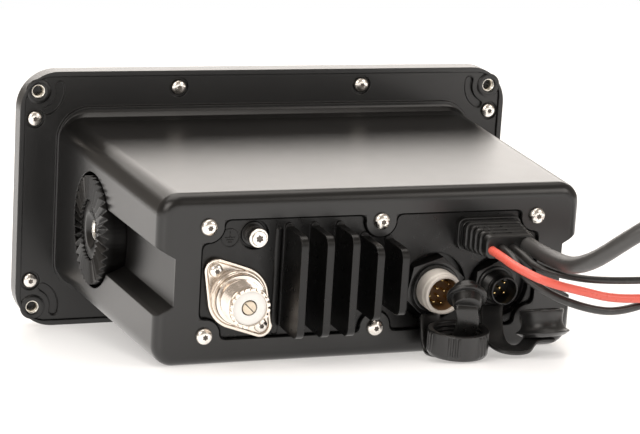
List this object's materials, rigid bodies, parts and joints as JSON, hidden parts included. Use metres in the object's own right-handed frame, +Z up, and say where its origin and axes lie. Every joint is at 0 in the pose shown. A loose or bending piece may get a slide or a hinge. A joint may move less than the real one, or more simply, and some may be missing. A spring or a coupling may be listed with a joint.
{
  "type": "vhf marine radio",
  "caption": "Fixed-mount marine VHF radio: boxy housing behind a framed face, finned rear plate, antenna and cable sockets, moulded-in leads, tilt ratchets on the sides.",
  "frame": {"origin": "middle of the object's box, on the surface it rests on, cords left out", "axes": "+Z up, +X to the right seen from the front, front face towards -Y and leaning back about 10 degrees, sockets and fins towards +Y"},
  "size_m": [0.3155, 0.2466, 0.1038],
  "materials": {
    "housing_plastic": "satin black moulded housing",
    "trim_plastic": "satin dark grey clip-on trim",
    "panel_plastic": "matt black face",
    "screw_steel": "bright stainless steel",
    "insert_metal": "nickelled brass, threaded",
    "heatsink_metal": "satin black coated casting",
    "seal_rubber": "soft black rubber",
    "tether_rubber": "grey-black rubber",
    "nickel": "bright nickel plate",
    "insulator_white": "white insulator",
    "socket_grey": "light warm grey plastic",
    "insert_brown": "brown insulating insert",
    "contact_gold": "gold plated",
    "nut_black": "semi-gloss black",
    "cap_plastic": "dark grey moulded cap",
    "cap_rubber": "glossy dark rubber",
    "grommet_rubber": "satin black rubber",
    "cable_jacket": "dark grey cable jacket",
    "red_jacket": "salmon red insulation",
    "black_jacket": "black insulation",
    "tie_plastic": "black nylon",
    "display_glass": "dark display window",
    "display_metal": "display frame",
    "board_green": "coated circuit board",
    "grille_plastic": "matt black grille",
    "speaker_cone": "treated paper cone",
    "knob_rubber": "rubber-coated knob",
    "shaft_steel": "ground steel",
    "key_rubber": "silicone key",
    "distress_red": "red plastic"
  },
  "bodies": {
    "root": {"rear_housing": "housing_plastic", "corner_inserts": "insert_metal", "pivot_inserts": "insert_metal", "flange_screws": "screw_steel", "rear_screws": "screw_steel", "front_trim": "trim_plastic", "front_panel": "panel_plastic", "panel_gasket": "seal_rubber", "display_lens": "display_glass", "display_module": "display_metal", "front_board": "board_green", "keypad_mat": "seal_rubber", "speaker": "speaker_cone", "speaker_grille": "grille_plastic", "microphone_socket": "panel_plastic", "main_board": "board_green", "heatsink_plate": "heatsink_metal", "heatsink_gasket": "seal_rubber", "ground_screw": "screw_steel", "antenna_socket": "nickel", "antenna_insulator": "insulator_white", "antenna_contact": "nickel", "antenna_screws": "screw_steel", "handset_connector": "socket_grey", "handset_connector_insert": "insert_brown", "handset_connector_pins": "contact_gold", "handset_connector_nut": "nut_black", "network_connector": "nut_black", "network_connector_insert": "nut_black", "network_connector_pins": "contact_gold", "network_connector_nut": "nut_black", "cable_grommet": "grommet_rubber", "handset_tether": "tether_rubber", "network_cap": "cap_rubber", "distress_hinge_pin": "shaft_steel", "volume_encoder": "insert_metal", "channel_encoder": "insert_metal", "data_cable": "cable_jacket", "thin_lead": "black_jacket", "red_lead": "red_jacket", "black_lead": "black_jacket", "cable_coil": "cable_jacket", "cable_tie": "tie_plastic"},
    "handset_cap": {"handset_cap": "cap_plastic"},
    "distress_cover": {"distress_cover": "distress_red"},
    "distress_button": {"distress_button": "distress_red"},
    "soft_key_1": {"soft_key_1": "key_rubber"},
    "soft_key_2": {"soft_key_2": "key_rubber"},
    "soft_key_3": {"soft_key_3": "key_rubber"},
    "menu_key": {"menu_key": "key_rubber"},
    "clear_key": {"clear_key": "key_rubber"},
    "channel_16_key": {"channel_16_key": "distress_red"},
    "volume_plunger": {"volume_plunger": "shaft_steel"},
    "volume_knob": {"volume_knob": "knob_rubber", "volume_shaft": "shaft_steel"},
    "channel_plunger": {"channel_plunger": "shaft_steel"},
    "channel_knob": {"channel_knob": "knob_rubber", "channel_shaft": "shaft_steel"}
  },
  "joints": [
    {"name": "soft_key_1_press", "type": "slide", "parent": "root", "child": "soft_key_1", "axis": [0, 0.9852, -0.1714], "range_m": [0, 0.0006], "stiffness_N_per_m": 400, "springref_m": -0.001},
    {"name": "soft_key_2_press", "type": "slide", "parent": "root", "child": "soft_key_2", "axis": [0, 0.9852, -0.1714], "range_m": [0, 0.0006], "stiffness_N_per_m": 400, "springref_m": -0.001},
    {"name": "soft_key_3_press", "type": "slide", "parent": "root", "child": "soft_key_3", "axis": [0, 0.9852, -0.1714], "range_m": [0, 0.0006], "stiffness_N_per_m": 400, "springref_m": -0.001},
    {"name": "menu_key_press", "type": "slide", "parent": "root", "child": "menu_key", "axis": [0, 0.9852, -0.1714], "range_m": [0, 0.0006], "stiffness_N_per_m": 400, "springref_m": -0.001},
    {"name": "clear_key_press", "type": "slide", "parent": "root", "child": "clear_key", "axis": [0, 0.9852, -0.1714], "range_m": [0, 0.0006], "stiffness_N_per_m": 400, "springref_m": -0.001},
    {"name": "channel_16_key_press", "type": "slide", "parent": "root", "child": "channel_16_key", "axis": [0, 0.9852, -0.1714], "range_m": [0, 0.0006], "stiffness_N_per_m": 400, "springref_m": -0.001},
    {"name": "distress_press", "type": "slide", "parent": "root", "child": "distress_button", "axis": [0, 0.9852, -0.1714], "range_m": [0, 0.0006], "stiffness_N_per_m": 500, "springref_m": -0.001},
    {"name": "distress_cover_open", "type": "hinge", "parent": "root", "child": "distress_cover", "pos_m": [0.062, -0.07801, 0.02928], "axis": [-1, 0, 0], "range_deg": [0, 90], "stiffness_Nm_per_rad": 0.004, "springref_deg": -20.05},
    {"name": "volume_push", "type": "slide", "parent": "root", "child": "volume_plunger", "axis": [0, 0.9852, -0.1714], "range_m": [0, 0.0004], "stiffness_N_per_m": 1500, "springref_m": -0.001},
    {"name": "volume_turn", "type": "hinge", "parent": "volume_plunger", "child": "volume_knob", "pos_m": [0.07401, -0.06791, 0.07451], "axis": [0, 0.9852, -0.1714], "continuous": true},
    {"name": "channel_push", "type": "slide", "parent": "root", "child": "channel_plunger", "axis": [0, 0.9852, -0.1714], "range_m": [0, 0.0004], "stiffness_N_per_m": 1500, "springref_m": -0.001},
    {"name": "channel_turn", "type": "hinge", "parent": "channel_plunger", "child": "channel_knob", "pos_m": [0.07401, -0.07305, 0.04498], "axis": [0, 0.9852, -0.1714], "continuous": true},
    {"name": "handset_cap_spin", "type": "hinge", "parent": "root", "child": "handset_cap", "pos_m": [-0.027, 0.07571, 0.00214], "axis": [0, 0.1714, 0.9852], "continuous": true}
  ]
}
